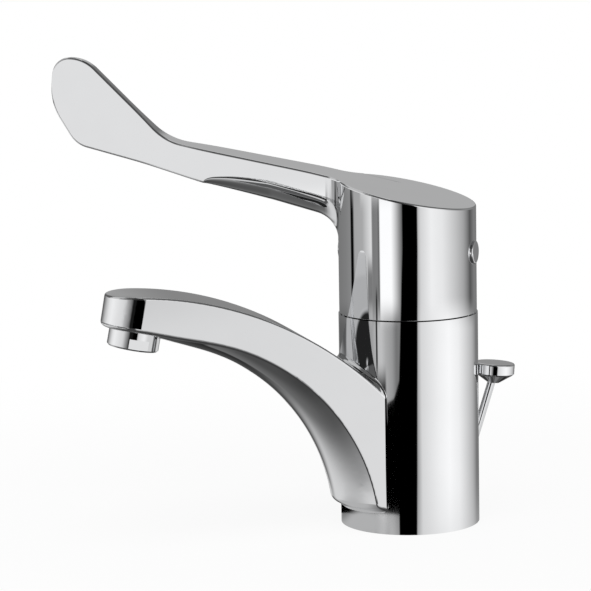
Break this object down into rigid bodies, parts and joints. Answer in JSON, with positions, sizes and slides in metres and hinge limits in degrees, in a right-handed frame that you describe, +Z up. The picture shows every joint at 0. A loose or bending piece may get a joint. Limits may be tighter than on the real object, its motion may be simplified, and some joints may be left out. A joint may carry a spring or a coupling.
{
  "type": "single-lever basin mixer tap",
  "caption": "Chromed basin mixer tap with an arched spout, a long elbow-action lever on a turning cap and a leaning pop-up waste rod behind the column.",
  "frame": {"origin": "centre of the round foot, on the basin's deck", "axes": "+Z up along the column; the spout points along -X; +Y is on the left of a user who faces the tap from the spout's side"},
  "size_m": [0.1548, 0.1059, 0.1689],
  "materials": {
    "chrome": "mirror polish",
    "steel": "ground",
    "brass": "machined",
    "ceramic": "lapped alumina ceramic",
    "white_plastic": "moulded",
    "grey_plastic": "moulded",
    "black_rubber": "matt"
  },
  "bodies": {
    "tap": {"mixer_body": "chrome", "spout": "chrome", "base_gasket": "black_rubber", "rod_bush": "grey_plastic", "aerator_housing": "chrome", "aerator_insert": "grey_plastic", "aerator_washer": "black_rubber", "cartridge_base": "white_plastic", "base_seals": "black_rubber", "disc_seals": "black_rubber", "cartridge_housing": "white_plastic", "fixed_ceramic_disc": "ceramic", "retaining_nut": "brass", "cartridge_cover": "chrome"},
    "rotor": {"cartridge_rotor": "grey_plastic", "rotor_slip_ring": "white_plastic", "pivot_pin": "steel"},
    "lever": {"lever_stem": "brass", "handle": "chrome", "grub_screw": "steel", "front_plug": "chrome", "rear_plug": "chrome"},
    "slider": {"disc_carrier": "grey_plastic", "moving_ceramic_disc": "ceramic"},
    "rod": {"lift_rod": "chrome", "rod_knob": "chrome"}
  },
  "joints": [
    {"name": "lever_turn", "type": "hinge", "parent": "tap", "child": "rotor", "pos_m": [0, 0, 0.0835], "axis": [0, 0, 1], "range_deg": [-15, 85]},
    {"name": "lever_lift", "type": "hinge", "parent": "rotor", "child": "lever", "pos_m": [0, 0, 0.0835], "axis": [0.5736, 0.8192, 0], "range_deg": [0, 20]},
    {"name": "disc_slide", "type": "slide", "parent": "rotor", "child": "slider", "axis": [-0.8192, 0.5736, 0], "range_m": [0, 0.0049]},
    {"name": "rod_lift", "type": "slide", "parent": "tap", "child": "rod", "axis": [0.314, 0, 0.9494], "range_m": [0, 0.018]}
  ],
  "couplings": [
    {"joint": "disc_slide", "follows": "lever_lift", "m_per_rad": 0.0138}
  ]
}
